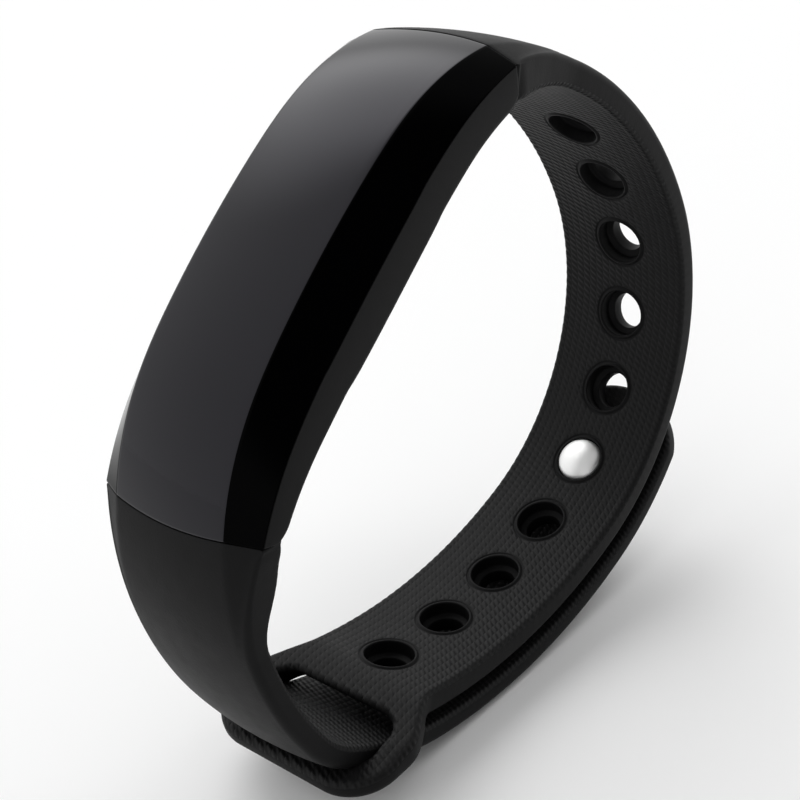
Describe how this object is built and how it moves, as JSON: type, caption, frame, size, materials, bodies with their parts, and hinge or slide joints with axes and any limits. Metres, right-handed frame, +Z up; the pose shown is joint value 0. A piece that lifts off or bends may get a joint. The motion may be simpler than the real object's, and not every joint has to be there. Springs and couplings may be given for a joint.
{
  "type": "fitness tracker band",
  "caption": "Closed fitness tracker band: slim curved module on a soft strap with holes, an end loop and a stud clasp.",
  "frame": {"origin": "on the ground under the middle of the closed band's bounding box", "axes": "+Z up with the band standing on its edge curve, Y along the band's axis (across the strap), the module on the -X side, the holed strap on the +X side"},
  "size_m": [0.0648, 0.0196, 0.0613],
  "materials": {
    "lens_plastic": "gloss",
    "case_plastic": "satin",
    "strap_rubber": "matte",
    "gasket_rubber": "matte",
    "display_plastic": "gloss",
    "frame_plastic": "matte",
    "ribbon_film": "satin",
    "board_resin": "satin",
    "chip_resin": "matte",
    "antenna_body": "matte",
    "can_steel": "satin",
    "battery_foil": "satin",
    "pad_foam": "matte",
    "lead_insulation": "matte",
    "contact_metal": "satin",
    "rotor_metal": "satin",
    "stud_metal": "satin"
  },
  "bodies": {
    "band": {"front_lens": "lens_plastic", "lens_gasket": "gasket_rubber", "case_frame": "case_plastic", "back_cover": "case_plastic", "back_cover_gasket": "gasket_rubber", "display_panel": "display_plastic", "display_frame": "frame_plastic", "display_ribbon": "ribbon_film", "touch_pad": "ribbon_film", "mainboard": "board_resin", "processor_chip": "chip_resin", "motion_sensor": "chip_resin", "charger_chip": "chip_resin", "clock_crystal": "can_steel", "antenna": "antenna_body", "battery": "battery_foil", "battery_pad": "pad_foam", "battery_leads": "lead_insulation", "charge_contacts": "contact_metal", "contact_springs": "can_steel", "motor_case": "can_steel", "motor_shaft": "can_steel", "holed_strap_root": "strap_rubber", "holed_strap_upper": "strap_rubber", "holed_strap_middle": "strap_rubber", "holed_strap_bend": "strap_rubber", "holed_strap_lower": "strap_rubber", "strap_loop": "strap_rubber", "stud_hole_ring": "strap_rubber", "tail_strap_root": "strap_rubber", "tail_strap_loop_run": "strap_rubber"},
    "tip": {"tail_strap_free_end": "strap_rubber", "tail_tip": "strap_rubber", "clasp_stud": "stud_metal", "clasp_button": "stud_metal"},
    "rotor": {"motor_rotor": "rotor_metal"}
  },
  "joints": [
    {"name": "tip_peel", "type": "hinge", "parent": "band", "child": "tip", "pos_m": [0.00938, 0, 0.00106], "axis": [0, 1, 0], "range_deg": [0, 17], "deforming": ["stud_hole_ring"]},
    {"name": "rotor_spin", "type": "hinge", "parent": "band", "child": "rotor", "pos_m": [-0.0266, 0, 0.03661], "axis": [-0.9041, 0, 0.4274], "continuous": true}
  ]
}
